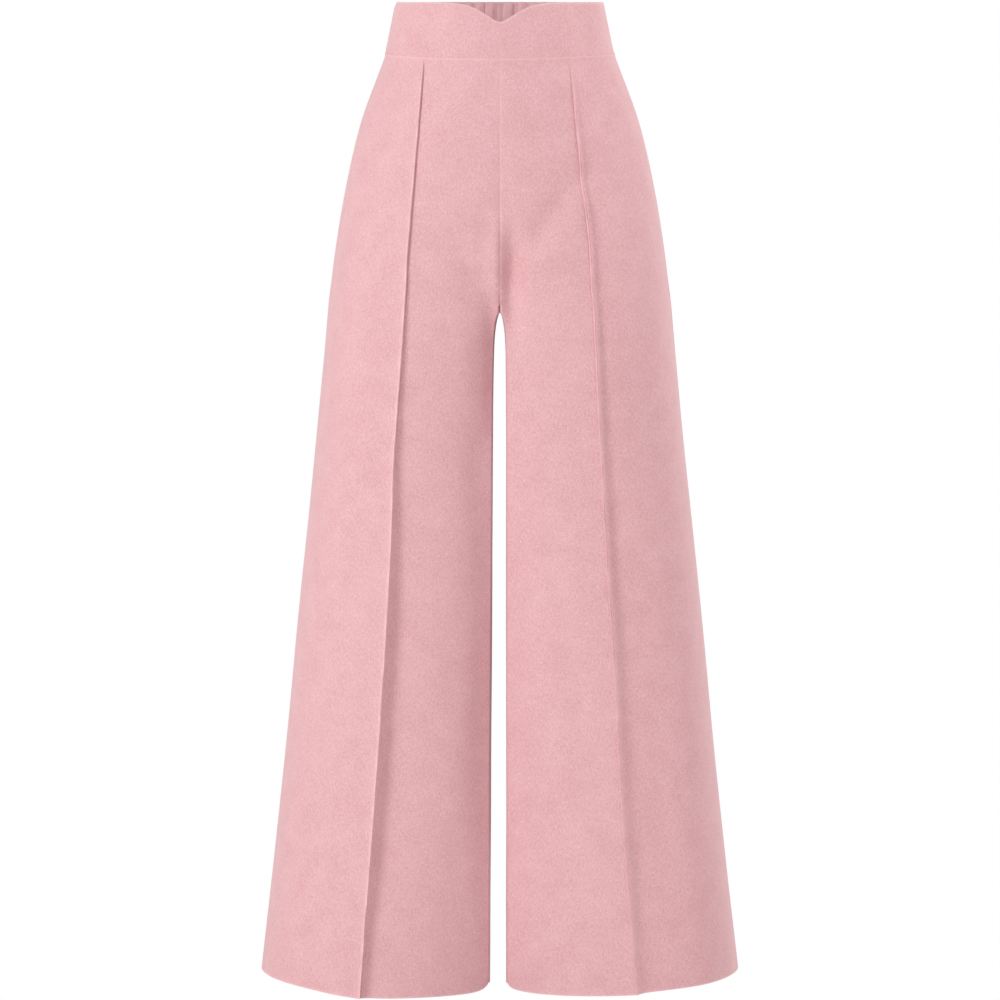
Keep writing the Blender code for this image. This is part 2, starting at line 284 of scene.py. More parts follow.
def edged_inner(level, middle, leave, end, place):
    """And on that of a leg's front row, which has a small curve round its edge and then a wall."""
    arrive = heading(level["turn"], -1)
    edge = end - arrive * EDGE_STRIP
    if level["rise"] > LIP_SHARE:
        closed = dome(level["z"] - LEG["fork"]["z"], FORK_CLOSED)
        edge = Vector((max(EDGE_STRIP, EDGE_IN * end.x - closed), level["edge"]))

    def on_front(place):
        share = (place - 1) / (EDGE_PLACE - 1)
        return arc(middle, leave, edge, arrive, (level["full"], level["corner"]), share)

    def on_wall(place):
        share = (place - EDGE_PLACE) / (2 - EDGE_PLACE)
        return edge.lerp(end, share), (end - edge).normalized()

    start, stop = EDGE_PLACE - EDGE_ROUND[0], EDGE_PLACE + EDGE_ROUND[1]
    if place <= start:
        return on_front(place)
    if place >= stop:
        return on_wall(place)
    t = (place - start) / (stop - start)
    before, after = on_front(start)[0].lerp(edge, t), edge.lerp(on_wall(stop)[0], t)
    return before.lerp(after, t), (after - before).normalized()


def across(level, sign, inner, places, last_part=plain_inner):
    """The point and the outward direction at each place of a row that ends at inner.

    sign is -1 for the front and 1 for the back. last_part gives what is past the row's middle."""
    side = Vector((level["side_x"], sign * level["side_y"] + SEAM_GAP / 2))
    middle = Vector((level["x"], level["depth"]))
    inner_x, inner_y, inner_z = inner
    end = Vector((inner_x, sign * inner_y + (SEAM_GAP / 2 if level["rise"] >= 1 else 0.0)))
    slope_x = (inner_z - level["z"] - level["lean"] * sign * (end.y - side.y)) / (end.x - side.x)
    found = []
    for place in places:
        if place <= 1:
            arrive = heading(level["face"] + level["fold"])
            spot, along = arc(side, Vector((0, 1)), middle, arrive, OUTER_REACHES, place)
        else:
            leave = heading(level["face"] - level["fold"])
            spot, along = last_part(level, middle, leave, end, place)
        z = level["z"] + slope_x * (spot.x - side.x) + level["lean"] * sign * (spot.y - side.y)
        found.append(((spot.x, sign * spot.y, z), (along.y, -sign * along.x, 0.0)))
    return found


print("the wall behind the edge takes", 2 - EDGE_PLACE, "of a row's 2 places")

# %% [markdown]
# ## From rows to a sheet
#
# A sheet starts as a flat grid from `bmesh.ops.create_grid`, and each vertex is then moved to its place on
# the body. The grid keeps its rows and columns, so every point knows how far it is from each seam, as
# sewing needs. The same distances along the cloth are its UVs, so a pattern on them isn't stretched.
#
# The columns crowd together at the seams and the tuck, where the cloth bends within a millimetre or two.

# %% A sheet of cloth on its grid
GROWTH = 1.22  # each step from a seam is this much wider than the one before


def crowded(steps):
    """Places from 0 to 1 that lie close together at both ends."""
    return [(1 - math.cos(math.pi * i / steps)) / 2 for i in range(steps + 1)]


def spread_out(length, finest, widest, growth=GROWTH):
    """Places from 0 to 1 along a length, with steps from the finest at both ends to the widest between."""
    steps = []
    while 2 * sum(steps) < length:
        steps.append(min(finest * growth ** len(steps), widest))
    steps += steps[::-1]
    return [sum(steps[:i]) / sum(steps) for i in range(len(steps) + 1)]


def joined(outer, inner):
    """Places of a whole row, 0 to 2, from those of its two parts, 0 to 1 each."""
    return np.array(outer + [1 + place for place in inner[1:]])


def lengths(points, axis):
    """Distance of every point along the sheet from its first row (axis 0) or column (axis 1), in mm."""
    steps = np.linalg.norm(np.diff(points, axis=axis), axis=2)
    start = np.zeros_like(np.take(steps, [0], axis=axis))
    return np.cumsum(np.concatenate([start, steps], axis=axis), axis=axis)


def in_scene(name, data):
    """A new object in the scene for a mesh, a lamp or a camera."""
    made = bpy.data.objects.new(name, data)
    bpy.context.scene.collection.objects.link(made)
    return made


def mesh_object(name, mesh):
    """A new object in the scene for a bmesh, which is freed."""
    data = bpy.data.meshes.new(name)
    mesh.to_mesh(data)
    mesh.free()
    return in_scene(name, data)


def sheet_object(name, points, painted_highlight):
    """A mesh object whose grid of vertices lies at the given points, with UVs in metres of cloth.

    painted_highlight says how much painted highlight each point gets, from 0 to 1."""
    rows, columns = points.shape[:2]
    mesh = bmesh.new()
    # raised is the vertex layer that holds each point's painted highlight
    raised = mesh.verts.layers.float.new("painted_highlight")
    uv = mesh.loops.layers.uv.new("UVMap")
    bmesh.ops.create_grid(mesh, x_segments=columns - 1, y_segments=rows - 1, size=1)
    girth, height = lengths(points, 1), lengths(points, 0)
    for vertex in mesh.verts:
        column = round((vertex.co.x + 1) / 2 * (columns - 1))
        spot = (round((vertex.co.y + 1) / 2 * (rows - 1)), column)
        vertex.co = Vector(points[spot]) * MM
        vertex[raised] = painted_highlight[spot]
        for loop in vertex.link_loops:
            loop[uv].uv = (girth[spot] * MM, height[spot] * MM)
    piece = mesh_object(name, mesh)
    piece.data.shade_smooth()
    return piece


FRONT_COLUMNS = {
    "outer": spread_out(195, 0.3, 3.6, 1.14),
    "inner": spread_out(120, 0.3, 3.6, 1.14),
    "wall": spread_out(100, 0.6, 6.0, 1.3),
}
BACK_COLUMNS = {"outer": spread_out(195, 0.5, 4.0), "inner": spread_out(165, 0.5, 4.0)}
print(len(FRONT_COLUMNS["outer"]), "columns between a side seam and a tuck")

# %% [markdown]
# ## Creases
#
# Cloth that hangs free is never quite even. Each crease here is a soft trough or ridge, listed one by one.
# A cloth simulation could make creases too, but it would put them where it likes, and would sag the waist
# that a body holds up.

# %% Soft creases and small unevenness
CREASE_OVERRUN = 0.15  # a crease fades out this share of its length past both its ends
CREASE_FADE = 1.5
# The waves of the small swells: how fast each one turns along x, y and z, and where it starts
SWELL_WAVES = ((2.1, 0.0, 0.7, 1.3), (-0.9, 2.1, 1.3, 0.0), (0.0, 1.7, 0.45, 4.2))


def crease(points, side, row):
    """How far one crease moves every point out: most half way along it, and nothing past its ends."""
    x, z = points[..., 0] * side, points[..., 2]
    start = np.array((row["from_x"], row["from_z"]))
    run = np.array((row["to_x"], row["to_z"])) - start
    length = np.linalg.norm(run)
    along = ((x - start[0]) * run[0] + (z - start[1]) * run[1]) / length**2
    beside = ((x - start[0]) * run[1] - (z - start[1]) * run[0]) / length
    bowed = beside - row["bow"] * np.sin(np.pi * np.clip(along, 0, 1))
    reached = ramp_up(along, -CREASE_OVERRUN, 1 + 2 * CREASE_OVERRUN)
    return row["out"] * np.sin(np.pi * reached) ** CREASE_FADE * bump(bowed, row["width"])


def unevenness(points, size, amount):
    """Small slow swells over the whole cloth, from three crossing waves of unlike lengths."""
    waves = [np.sin(points @ turns / size + start) for *turns, start in SWELL_WAVES]
    return amount * sum(waves) / len(waves)


# Where each crease starts and ends, its width, how far it stands out, or in where that is below 0, and how
# far it bows to the side. The keel and its trough are above the gap, on both legs.
CREASES = {"front": table("""
crease          from_x from_z to_x  to_z width   out bow
keel                -4   -226   -2  -348    10   8.5   0
keel_side           15   -236   13  -354    11 -10.0   0
right_inner_top     -5   -270   -9  -640    24  -8.0   0
right_inner_low     -8   -560  -12  -940    22  -5.5   0
right_gap_top       -6   -292   -7  -460     9  -9.0   0
right_gap_low       -8   -560  -10 -1000    11  -5.5   0
left_smile          12   -282  104  -166    14  -6.5  -3
left_swell          30   -300   96  -236    20   1.5  -6
right_smile        -20   -306  -78  -226    15  -3.0   7
right_swell        -34   -310  -90  -262    22   1.0   6
left_hang          176   -180  196  -560    30  -1.6  10
left_thigh          58   -400   66  -820    34   0.9  -8
right_hang        -158   -190 -182  -640    20   2.8  -4
right_thigh        -58   -330  -66  -760    30  -1.0   8
right_low          -92   -640  -98 -1040    28  -1.2  -6
left_low           104   -700  118 -1030    30  -0.9   8
left_side          186   -560  224 -1070    22   6.0   0
right_side        -192   -820 -208 -1090    26  -5.0   0
"""), "back": table("""
crease      from_x from_z to_x  to_z width  out bow
left_smile      14   -300   88  -262    16 -2.2  -8
right_smile    -16   -298  -96  -256    16 -2.0   9
left_seat       60   -330  120  -640    26 -1.6  12
right_seat     -66   -340 -112  -600    28 -1.4 -10
left_hang      150   -420  182  -960    30  1.4  12
right_hang    -146   -460 -188 -1000    32  1.2 -12
left_low        84   -620   96 -1040    26 -1.5   8
right_low      -92   -600  -86 -1030    28 -1.6  -9
""")}
print(sum(map(len, CREASES.values())), "creases")

# %% [markdown]
# ## Sewing
#
# Where two panels are sewn, both turn in towards the seam allowance, so the surface dips along the line by
# less than the cloth's thickness. The stitches pull unevenly: two waves of unlike lengths show that well
# enough, and need no random numbers.

# %% Seams
SEAM_DIP = (0.42, 1.5)
SEAM_PULL = ((0.25, 7.3, 0), (0.15, 2.9, 1))


def ripple(along, waves):
    """The sum of some waves along a length. Each has a height, a length and a start."""
    return sum(height * np.sin(along / length + start) for height, length, start in waves)


def seam_dip(distance, along):
    """How far a seam draws the cloth in, at this distance beside it and this far along it."""
    return -dome(distance, SEAM_DIP) * (1 + ripple(along, SEAM_PULL))


print("100 mm down, a seam dips by", round(-float(seam_dip(0, 100)), 2), "mm")

# %% [markdown]
# ## The pin tucks
#
# A pin tuck is a narrow fold sewn down on the outside and pressed towards the centre. Its inner side is a
# wall that overhangs its stitches, and its outer side slopes back into the leg. Further down, the weight
# of the cloth draws a hollow beside it. The right one is tall and casts a wide shade, and the left is low.

# %% The tucks
TUCK_WALL = 0.6  # width of its inner wall, before it leans
TUCK_LEAN = 1.5
TUCK_FULL = 3.0  # a tuck that is lower than this leans less, and its stitches pull less
TUCK_SLIDE = 45.0  # where a tuck is sewn off its line, the cloth is shifted along over this width
TUCK_GROOVE = (0.9, 0.8)  # the stitches pull the cloth in, this far past the wall
TUCK_GROOVE_PAST = 0.5
TUCK_WANDER = ((0.2, 41, 0), (0.1, 13, 1))
TUCK_UNEVEN = ((0.06, 23, 0), (0.04, 9.1, 2))

# height is how far a tuck stands up, and slope the width over which it falls away outwards. The hollow is
# on the right tuck's inner and on the left one's outer side. It reaches its depth over the width foot and
# ends over the width back. shift is how far inwards the tuck is off its line.
TUCKS = {"right": table("""
level        z height slope hollow foot shift back
waist      -29    0.0   2.0    0.0  3.0  -2.0   20
below      -45    2.2   2.0    0.0  3.0  -2.0   20
high_hip  -112    3.4   2.6    0.4  3.0  -2.0   24
seat      -247    4.4   3.0    1.4  3.0  -2.0   26
thigh     -351    4.4   3.5    3.0  4.5   0.0   28
mid_leg   -470    4.4   4.0    9.0  6.5  -1.5   34
knee      -600    4.8   5.0   15.0  7.5   0.0   38
low_knee  -700    5.0   5.5   18.0  8.0   0.0   44
calf      -846    5.0   5.0   18.0  7.8  -1.0   48
hem      -1056    4.0   4.0   10.0  7.5  -2.0   48
"""), "left": table("""
level        z height slope hollow foot shift back
waist      -29    0.0   2.0    0.0  3.0   5.5   20
below      -45    1.2   2.0    0.4  3.0   5.0   20
high_hip  -112    2.0   2.2    3.5  4.0   4.0   24
seat      -247    2.4   2.4    8.0  4.4   0.5   26
thigh     -351    2.2   2.4    9.0  5.0   2.0   28
mid_leg   -470    1.8   2.4   14.0  7.0   4.0   34
knee      -600    1.6   2.4   15.0  7.0   3.0   38
low_knee  -700    1.6   2.4   17.0  9.5   2.0   44
calf      -846    1.6   2.4   20.0 13.5   3.0   48
hem      -1056    1.6   2.4   17.0 14.0   2.0   48
""")}


def pin_tuck(inwards, down, heights, leg):
    """How far a tuck moves the cloth out and inwards, at this distance inwards from its line."""
    levels = [columns_at(z, TUCKS[leg], TUCKS[leg]) for z in heights]
    fact = {name: np.array([level[name] for level in levels])[:, None] for name in levels[0]}
    beside = inwards - ripple(down, TUCK_WANDER)
    slope = np.exp(np.minimum(beside, 0) / fact["slope"])
    wall = np.clip(1 - beside / TUCK_WALL, 0, 1)
    shape = slope * np.where(beside > 0, wall, 1)
    full = np.minimum(fact["height"] / TUCK_FULL, 1)
    groove = full * dome(beside - TUCK_WALL - TUCK_GROOVE_PAST, TUCK_GROOVE)
    away = np.maximum(beside if leg == "right" else -beside, 0)
    fall = fact["hollow"] * (1 - np.exp(-away / fact["foot"])) * np.exp(-away / fact["back"])
    out = fact["height"] * (1 + ripple(down, TUCK_UNEVEN)) * shape - groove - fall
    slide = fact["shift"] * bump(inwards, TUCK_SLIDE)
    return out, slide + TUCK_LEAN * full * shape**2


print("at the knee the tucks are", [rows["knee"]["height"] for rows in TUCKS.values()], "mm high")

# %% [markdown]
# ## Flutes and gathers
#
# The back of the waistband is a casing for wide elastic. Its cloth is cut longer than the elastic, so it
# gathers. The gathers run on below it as fine folds for a little way, and then join two by two into
# flutes that fade out down the seat.

# %% Flutes below the elastic
GATHERS_PER_SIDE = 12
GATHERS_GROW_OVER = 0.33  # the share of the panel, from the side seam, over which they grow
GATHER_DRIFT = (0.03, 5)  # no two gathers are equally wide
FLUTE_DEPTH = 3.2
FLUTE_LENGTH = 130.0
FLUTE_SEAM = (0.85, 14)  # at the seam they are this share shallower, over this height
FINE_FLUTE_DEPTH = 1.4
FINE_FLUTE_LENGTH = 16.0


def gather_turns(places):
    """How far round its waves the gathered cloth is at each place, in radians."""
    amount, pace = GATHER_DRIFT
    return np.pi * GATHERS_PER_SIDE * (places + amount * np.sin(pace * places))


def gathers_grown(places):
    """How far the gathers have grown at each place, from 0 at the side seam to 1."""
    return ramp_up(places, 0, GATHERS_GROW_OVER)


def flutes(places, down):
    """How far the coarse and the fine folds below the waistband move the cloth out."""
    turns = gather_turns(places)
    coarse = np.clip(1 - down / FLUTE_LENGTH, 0, 1) ** 2 * (1 - dome(down, FLUTE_SEAM))
    fine = gathers_grown(places) * np.exp(-down / FINE_FLUTE_LENGTH)
    return -FLUTE_DEPTH * coarse * np.sin(turns / 2) - FINE_FLUTE_DEPTH * fine * np.sin(turns)


print(GATHERS_PER_SIDE, "gathers on each side, and half as many flutes")

# %% [markdown]
# ## The four leg panels
#
# Left and right are cut as mirror images but don't hang alike, so one function makes each on its own. It
# needs the plain panel first, and how far each point is from every line that matters.

# %% Rows and columns of a leg
SIDES = {"left": 1, "right": -1}
RISE_ROWS = 60
LEG_ROWS = 136


def leg_rows():
    """Heights of the rows at the side seam, crowded at the waist, the fork and the hem."""
    levels = [row for row in LEG.values() if row["rise"] < 1] + [LEG["fork"]]
    rises, heights = [row["rise"] for row in levels], [row["z"] for row in levels]
    above = [smooth(rises, heights, share) for share in crowded(RISE_ROWS)[:-1]]
    length = LEG["hem"]["z"] - LEG["fork"]["z"]
    return above + [LEG["fork"]["z"] + length * share for share in crowded(LEG_ROWS)]


def leg_places(half):
    """Places of a panel's columns, and which are its middle and the last before its wall."""
    if half == "back":
        places = joined(BACK_COLUMNS["outer"], BACK_COLUMNS["inner"])
        return places, len(BACK_COLUMNS["outer"]) - 1, len(places) - 1
    share = EDGE_PLACE - 1
    inner = [place * share for place in FRONT_COLUMNS["inner"]]
    inner += [share + place * (1 - share) for place in FRONT_COLUMNS["wall"][1:]]
    places = joined(FRONT_COLUMNS["outer"], inner)
    corner = np.searchsorted(places, EDGE_PLACE - EDGE_ROUND[0], side="right") - 1
    return places, len(FRONT_COLUMNS["outer"]) - 1, corner


def plain_panel(half, places):
    """Points and outward directions of a plain left panel, and the share of the rise above each row."""
    sign, panel, curves = HALVES[half]
    last_part = edged_inner if half == "front" else plain_inner
    points, outward, rises = [], [], []
    for z in leg_rows():
        level = level_at(z, panel)
        row = across(level, sign, inner_end(level, curves), places, last_part)
        points.append([point for point, _ in row])
        outward.append([out for _, out in row])
        rises.append(level["rise"])
    return np.array(points), np.array(outward), np.array(rises)[:, None]


def distances(points, middle, corner):
    """How far every point is along the cloth from each line of its panel, in mm."""
    from_side, down = lengths(points, 1), lengths(points, 0)
    return {
        "side": from_side,
        "inner": from_side[:, -1:] - from_side,
        "waist": down,
        "hem": down[-1:] - down,
        "tuck": from_side - from_side[:, middle : middle + 1],
        "edge": from_side - from_side[:, corner : corner + 1],
    }


print("a leg has", len(leg_rows()), "rows, and", len(leg_places("front")[0]), "columns in front")

# %% [markdown]
# ## From the plain panel to the sewn one
#
# Sewing moves the cloth at its seams and its tuck. Creases swell it between them, and fade before each
# seam, because two panels that are sewn together can't part. Last, the hem climbs where the front rounds
# back beside the other leg.

# %% Sewn and hanging shape
FORK_CLEAR = 30.0  # next to nothing is added this close to the fork, where four panels meet
FORK_CALM = 0.9  # the share of the small swells that is taken away there
LEG_UNEVEN = {"size": 38.0, "amount": 0.28}
# The widths over which creases, swells and the tuck fade beside seams and edges
CALM = {"hem": 4, "side": 14, "back_seam": 10, "tuck": 24, "wall": 30, "centre": 16, "edge": 16}
LEGS_PART = -300.0  # from here down, the creases of one leg no longer reach the other
LEGS_PART_OVER = 12.0
WAIST_LIP = (0.8, 2.5)  # a leg's top lies this far over the waistband's lower edge, over this height


def sewn(half, leg, points, places, far, near_fork):
    """How far the seams, the tuck or the flutes move the cloth out, and the tuck moves it inwards."""
    push = unevenness(points * (SIDES[leg], 1, 1), **LEG_UNEVEN) * (1 - bump(far["hem"], CALM["hem"]))
    push = push * (1 - near_fork * FORK_CALM)
    push = push + seam_dip(far["side"], far["waist"])
    push = push + seam_dip(far["inner"], far["waist"]) * (1 - near_fork)
    push = push + dome(far["waist"], WAIST_LIP)
    if half == "back":
        return push + flutes(places, far["waist"]), np.zeros_like(push)
    out, inwards = pin_tuck(far["tuck"] + TUCK_LEAN, far["waist"], leg_rows(), leg)
    return push + out * (1 - bump(far["inner"], CALM["tuck"])), inwards


def hanging(half, leg, points, far):
    """How far the creases move the cloth of a panel out."""
    on_both = bump(np.maximum(LEGS_PART - points[..., 2], 0), LEGS_PART_OVER)
    swell = np.zeros(points.shape[:2])
    for name, row in CREASES[half].items():
        here = 1 if name.startswith(("keel", leg)) else on_both
        swell = swell + crease(points, SIDES[leg], row) * here
    swell = swell * (1 - bump(far["side"], CALM["side"])) * bump(np.maximum(far["edge"], 0), CALM["wall"])
    return swell * (1 - bump(far["inner"], CALM["back_seam"])) if half == "back" else swell


# Beside the other leg a hem climbs to its corner, by slow over the length slow_over, and by steep at the
# end. It sags by sag at the distance sag_at from the tuck, over the width sag_over.
HEM = table("""
leg   slow slow_over steep steep_over sag sag_at sag_over
left   5.5      24.0   4.5        3.5 0.3     15       50
right  5.0      15.0   5.5        6.0 4.2      5       75
""")
HEM_EDGE = 2.5  # from where the edge begins to round to its outermost line
HEM_WALL = 75.0  # behind the edge the hem comes down again over this much of the wall
HEM_HEIGHT = 36.0  # what moves the hem has faded out this far above it


def hem_lift(leg, far):
    """How far the hem of a front panel is lifted at every point."""
    hem = HEM[leg]
    beside = far["edge"] - HEM_EDGE
    climbs = [hem[kind] * np.exp(np.minimum(beside, 0) / hem[kind + "_over"]) for kind in ("slow", "steep")]
    lift = sum(climbs) * np.clip(1 - beside / HEM_WALL, 0, 1)
    lift = lift - hem["sag"] * bump(far["tuck"] - hem["sag_at"], hem["sag_over"])
    return lift * np.clip(1 - far["hem"] / HEM_HEIGHT, 0, 1) ** 2


print("the hems climb by", [hem["slow"] + hem["steep"] for hem in HEM.values()], "mm")

# %% [markdown]
# ## Painted highlights
#
# Painted highlights make the cloth paler where its edges and crests catch the light: along the waist
# seam, the hem, the upper centre seam and the crest of each tuck. A number on each vertex says how strong
# the painted highlight is there, and the material reads it.

# %% The painted highlights on a leg
# How strong each painted highlight is, and over what width
WAIST_PAINTED_HIGHLIGHT = (0.5, 1.1)
HEM_PAINTED_HIGHLIGHT = (0.5, 1.5)
SEAM_PAINTED_HIGHLIGHT = (0.25, 1.0)
SEAM_HIGHLIGHT_FADE = (-256.0, 80.0)  # the centre seam's painted highlight starts at this height and is full this far above
CREST_PAINTED_HIGHLIGHT = 0.45
CREST_PATCHES = (0.3, 17, 5.3)  # the crest's painted highlight comes and goes by this much, over these two lengths
CREST_PAST = 0.7  # the crest of the tuck, outwards from its line
CREST_WIDTH = 1.3
CREST_FADE = (20.0, 40.0)  # its painted highlight starts this far below the waist and is full this much further down


def leg_painted_highlight(half, points, far):
    """How much painted highlight each point of a leg's panel gets."""
    down = far["waist"]
    # Painted highlights along the waist seam and the hem
    painted_highlight = np.maximum(dome(down, WAIST_PAINTED_HIGHLIGHT), dome(far["hem"], HEM_PAINTED_HIGHLIGHT))
    if half == "front":
        # A painted highlight along the crest of the tuck
        more, slow, fast = CREST_PATCHES
        patches = CREST_PAINTED_HIGHLIGHT + more * np.sin(down / slow) * np.sin(down / fast)
        crest = bump(far["tuck"] + TUCK_LEAN + CREST_PAST, CREST_WIDTH) * patches
        # and one along the centre seam, which fades out towards the fork
        seam = dome(far["inner"], SEAM_PAINTED_HIGHLIGHT) * ramp_up(points[..., 2], *SEAM_HIGHLIGHT_FADE)
        painted_highlight = np.maximum(np.maximum(painted_highlight, crest * ramp_up(down, *CREST_FADE)), seam)
    return painted_highlight


print("along a tuck the nap is raised by", CREST_PAINTED_HIGHLIGHT, "on average")

# %% [markdown]
# ## Putting a panel together
#
# Sewing pushes the cloth straight out of its own surface. Beside the gap a crease would widen it in that
# way, so there, and near the centre seam, the cloth moves only forwards or backwards.

# %% Make the legs
WAIST_COVER = (1.2, 1.5)  # a leg's top edge is lifted this much, over this height, and covers the seam
LEG_DRIFT = (2.0, 60.0)  # the gap between the legs leans to the wearer's right
LEG_DRIFT_LENGTH = 760.0


def leg_panel(half, leg):
    """One panel of a leg as a sheet object, and its points in mm."""
    places, middle, corner = leg_places(half)
    points, outward, rises = plain_panel(half, places)
    far = distances(points, middle, corner)
    near_fork = bump(np.hypot(far["inner"], np.abs(points[..., 2] - FORK[1])), FORK_CLEAR)
    push, inwards = sewn(half, leg, points, places, far, near_fork)
    swell = hanging(half, leg, points, far)

    pushed, swollen = outward.copy(), outward.copy()
    swollen[:, corner:] = outward[:, corner : corner + 1]
    if half == "front":
        swollen[..., 0] *= 1 - bump(far["edge"], CALM["edge"])
    # Beside the centre seam and the edge the cloth doesn't move sideways
    sideways = np.where(rises < 1, 1 - bump(far["inner"], CALM["centre"]), 1)
    pushed[..., 0] *= sideways
    swollen[..., 0] *= sideways
    along = np.stack([outward[..., 1], -outward[..., 0], np.zeros_like(push)], axis=-1)
    points = points + pushed * push[..., None] + swollen * swell[..., None] + along * inwards[..., None]

    points[..., 2] += dome(far["waist"], WAIST_COVER)
    if half == "front":
        points[..., 2] += hem_lift(leg, far)
    points = points * (SIDES[leg], 1, 1)
    below = ramp_up(-points[..., 2], -LEGS_PART, LEG_DRIFT_LENGTH)
    points[..., 0] -= dome(points[..., 0], LEG_DRIFT) * below

    # The grid's rows go up from the hem. Its columns run the way that turns its faces outwards.
    turn = -1 if (leg == "right") != (half == "front") else 1
    painted_highlight = leg_painted_highlight(half, points, far)[::-1, ::turn]
    points = points[::-1, ::turn]
    return sheet_object(f"{half}_{leg}_cloth", points, painted_highlight), points


sheets = {}
for half in HALVES:
    for leg in SIDES:
        node = f"{half}_{leg}"
        sheets[node] = leg_panel(half, leg)
        print(node, "has", len(sheets[node][0].data.vertices), "vertices")

# %% [markdown]
# ## The waistband
#
# The front half is faced and smooth, and cut at the top to a soft V like the tip of a tulip. The back half
# is the elastic's casing. Its right side is the left one's mirror image, with gathers of its own.

# %% The form of the waistband
NOTCH_DEPTH = 22.6
NOTCH_SPREAD = 28.4  # this far from the middle it is about a third as deep
NOTCH_SWEEP = 1.55  # 1 gives a sharp point, and 2 gives a round one
BAND_ROWS = 34
BAND_FRONT_COLUMNS = (spread_out(80, 0.4, 2.4), spread_out(95, 0.6, 2.0))
BAND_BACK_COLUMNS = 260


def notch(x):
    """How far the top edge dips at this distance from the middle."""
    return NOTCH_DEPTH * math.exp(-((abs(x) / NOTCH_SPREAD) ** NOTCH_SWEEP))


def plain_band(half, places):
    """Points and outward directions of a plain left half of a waistband, from its lower edge up."""
    sign, panel, curves = HALVES[half]
    top_level = BAND_TOP[half]
    top_y = sign * top_level["middle"]
    top_z = top_level["z"] + top_level["lean"] * (top_y - sign * SEAM_GAP / 2)
    low = across(LEG["waist"] | panel["waist"], sign, (0.0, *curves[0][0]), places)
    top = across(top_level, sign, (0.0, top_y, top_z), places)
    points = []
    for share in crowded(BAND_ROWS):
        points.append([])
        for (foot, _), (head, _) in zip(low, top):
            height = head[2] - foot[2]
            dip = notch(foot[0]) if half == "front" else 0.0
            start = SEAM_GAP / height
            climb = start + (1 - dip / height - start) * share
            points[-1].append(Vector(foot).lerp(Vector(head), climb))
    return np.array(points), np.array([[out for _, out in low]] * len(points))


print("50 mm beside its point, the notch is", round(notch(50), 1), "mm deep")

# %% [markdown]
# ## Gathers on the elastic
#
# A gather is a wave across the band. Real ones differ in depth, sway on their way up, and have smaller
# folds between them, so three weaker waves disturb the main one. At the top the casing is stitched flat.

# %% Make the waistband
GATHER_DEPTH = 1.5
GATHER_UNEVEN = (0.22, 3.7 / math.pi, 1)  # its share of the depth, its pace and its start
GATHER_SWAY = (0.35, 2.2, 1.9, 5)  # its amount, its paces up and along the band, and its length
SMALL_GATHER = (0.35, 2.7, 1.1, 0.8)  # its height, its pace, its start and its pace up the band
GATHER_TOP = (0.7, 5)  # at the top they lose this share of their depth, over this height
OTHER_GATHERS = (1.03, 0.31)  # how the gathers of the right side are stretched and moved
OTHER_BLEND = 0.12  # they give way to the left side's this close to the centre seam
BAND_SEAM = (0.2, 1.5)  # the lower edge is drawn in this far, over this height
BAND_UNEVEN = {"size": 46, "amount": 0.25}
BAND_TURN = (0.5, 2.2)  # and the front's turned top edge this far
BAND_OTHER = ((0.2, 17, 0),)  # the right side of the front isn't quite the left one's mirror image
# Painted highlights: a pale line along the top edge, and a paler tone over the gathered back
TOP_PAINTED_HIGHLIGHT = (0.6, 1.6)
ELASTIC_PAINTED_HIGHLIGHT = 0.35


def gathers(places, climb):
    """How far the gathered cloth stands out, this share of the way up the band."""
    turns = gather_turns(places)
    share, pace, start = GATHER_UNEVEN
    depth = GATHER_DEPTH * (1 + share * np.sin(pace * turns + start))
    amount, rising, drift, over = GATHER_SWAY
    sway = amount * np.sin(rising * climb + drift * places) * np.sin(turns / over)
    height, pace, start, rising = SMALL_GATHER
    small = height * np.sin(pace * turns + start + rising * climb)
    return -gathers_grown(places) * (depth * np.sin(turns + sway) + small)


def band_pushes(half, places, points):
    """How far the left and the right side of a half of the waistband are moved out."""
    from_side, up = lengths(points, 1), lengths(points, 0)
    push = seam_dip(from_side, up) - dome(up, BAND_SEAM)
    if half == "front":
        push = push + unevenness(points, **BAND_UNEVEN) - dome(up[-1:] - up, BAND_TURN)
        return push, push + ripple(points[..., 0], BAND_OTHER)
    free = 1 - dome(up[-1:] - up, GATHER_TOP)
    stretch, move = OTHER_GATHERS
    left, right = gathers(places, up / up[-1:]), gathers(places * stretch + move, up / up[-1:])
    own = np.clip(2 - places, 0, OTHER_BLEND) / OTHER_BLEND
    return push + left * free, push + left * free + (right - left) * free * own


def band_piece(half):
    """The front or the back half of the waistband as a sheet object, and its points in mm."""
    places = joined(*BAND_FRONT_COLUMNS) if half == "front" else np.linspace(0, 2, BAND_BACK_COLUMNS + 1)
    points, outward = plain_band(half, places)
    left, right = (points + outward * push[..., None] for push in band_pushes(half, places, points))
    whole = np.concatenate([left, right[:, -2::-1] * (-1, 1, 1)], axis=1)
    up = lengths(points, 0)
    # Painted highlight along the top edge, and a paler tone over the gathered elastic at the back
    painted_highlight = dome(up[-1:] - up, TOP_PAINTED_HIGHLIGHT)
    if half == "back":
        painted_highlight = np.maximum(painted_highlight, ELASTIC_PAINTED_HIGHLIGHT * gathers_grown(places))
    painted_highlight = np.concatenate([painted_highlight, painted_highlight[:, -2::-1]], axis=1)
    if half == "front":
        whole = whole[:, ::-1]
    return sheet_object(f"waistband_{half}_cloth", whole, painted_highlight), whole


for half in HALVES:
    node = f"waistband_{half}"
    sheets[node] = band_piece(half)
    print(node, "has", len(sheets[node][0].data.vertices), "vertices")

